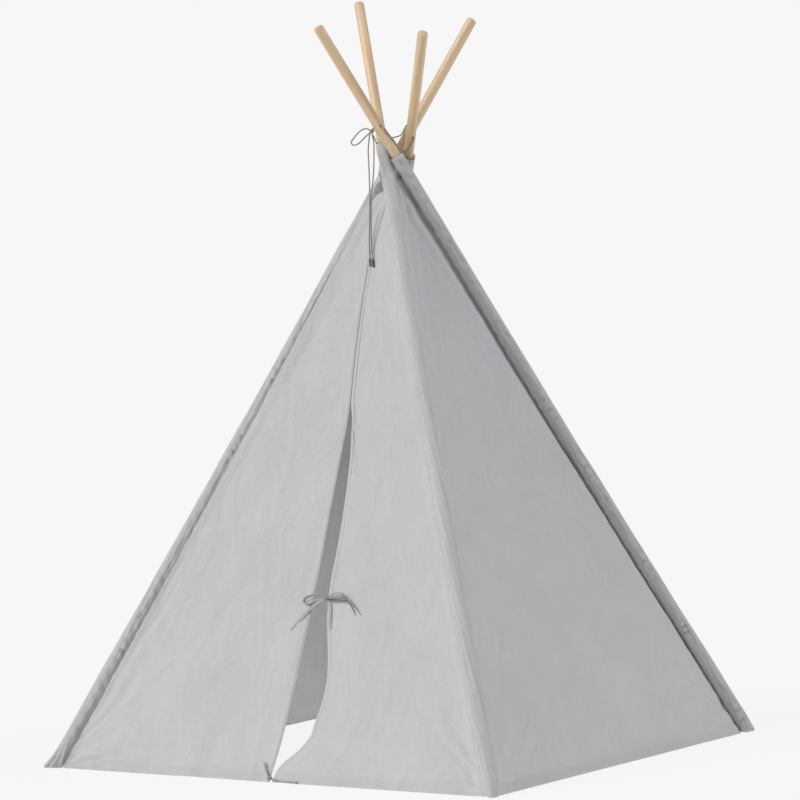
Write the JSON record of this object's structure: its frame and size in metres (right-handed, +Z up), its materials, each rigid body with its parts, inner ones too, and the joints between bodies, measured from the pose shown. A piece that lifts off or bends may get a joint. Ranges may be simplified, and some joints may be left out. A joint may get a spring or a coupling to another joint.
{
  "type": "kids teepee",
  "caption": "Square-based play tent of crossed wooden poles lashed near their tops, in a plain cloth cover with sewn corner sleeves and a slit door tied back with bows.",
  "frame": {"origin": "middle of the square base, on the floor", "axes": "+Z up, the door faces -Y, +X to the right as one looks at the door"},
  "size_m": [1.1202, 1.1203, 1.6448],
  "materials": {
    "pole_wood": "sanded, pale, satin lacquer",
    "ferrule_steel": "drawn tube",
    "cover_cloth": "plain woven cotton canvas, matte",
    "door_tape": "folded and sewn cloth tape, matte",
    "lashing_cord": "braided cord, matte",
    "cord_tip": "shrunk sleeve, matte"
  },
  "bodies": {
    "back_leg": {"pole_back_lower": "pole_wood", "ferrule_back": "ferrule_steel", "pole_back_upper": "pole_wood", "sleeve_back": "cover_cloth", "wall_left_back": "cover_cloth", "wall_right_back": "cover_cloth"},
    "left_leg": {"pole_left_lower": "pole_wood", "ferrule_left": "ferrule_steel", "pole_left_upper": "pole_wood", "sleeve_left": "cover_cloth", "front_panel_left": "cover_cloth"},
    "right_leg": {"pole_right_lower": "pole_wood", "ferrule_right": "ferrule_steel", "pole_right_upper": "pole_wood", "sleeve_right": "cover_cloth", "wall_right_front": "cover_cloth", "lashing_cord": "lashing_cord", "lashing_tail_left": "lashing_cord", "lashing_tip_left": "cord_tip", "lashing_tail_right": "lashing_cord", "lashing_tip_right": "cord_tip"},
    "front_leg": {"pole_front_lower": "pole_wood", "ferrule_front": "ferrule_steel", "pole_front_upper": "pole_wood", "sleeve_front": "cover_cloth", "front_panel_right": "cover_cloth"},
    "flap_left": {"door_flap_left": "cover_cloth", "door_tie_left": "door_tape"},
    "flap_right": {"door_flap_right": "cover_cloth", "door_tie_bow": "door_tape", "hem_tie": "door_tape"}
  },
  "joints": [
    {"name": "fold_left", "type": "hinge", "parent": "back_leg", "child": "left_leg", "pos_m": [0.0471, -0.0418, 1.2969], "axis": [0.9084, 0.026, -0.4174], "range_deg": [0, 38], "deforming": ["wall_left_back", "wall_right_back", "wall_right_front", "front_panel_left", "front_panel_right", "door_flap_left", "door_flap_right", "door_tie_bow", "door_tie_left", "hem_tie", "lashing_cord"]},
    {"name": "fold_right", "type": "hinge", "parent": "back_leg", "child": "right_leg", "pos_m": [0.0739, -0.0808, 1.303], "axis": [-0.0559, 0.8974, 0.4376], "range_deg": [0, 38]},
    {"name": "fold_front", "type": "hinge", "parent": "right_leg", "child": "front_leg", "pos_m": [0.0604, -0.1115, 1.2899], "axis": [0.9339, 0.0258, 0.3567], "range_deg": [0, 38]},
    {"name": "door_left", "type": "hinge", "parent": "left_leg", "child": "flap_left", "pos_m": [-0.51712, -0.5383, 0.03226], "axis": [-0.6132, -0.2679, -0.7432], "range_deg": [0, 120]},
    {"name": "door_right", "type": "hinge", "parent": "front_leg", "child": "flap_right", "pos_m": [0.51918, -0.5398, 0.03226], "axis": [-0.527, 0.2897, 0.799], "range_deg": [0, 120]}
  ],
  "couplings": [
    {"joint": "fold_right", "follows": "fold_left", "ratio": 1},
    {"joint": "fold_front", "follows": "fold_left", "ratio": 1}
  ]
}
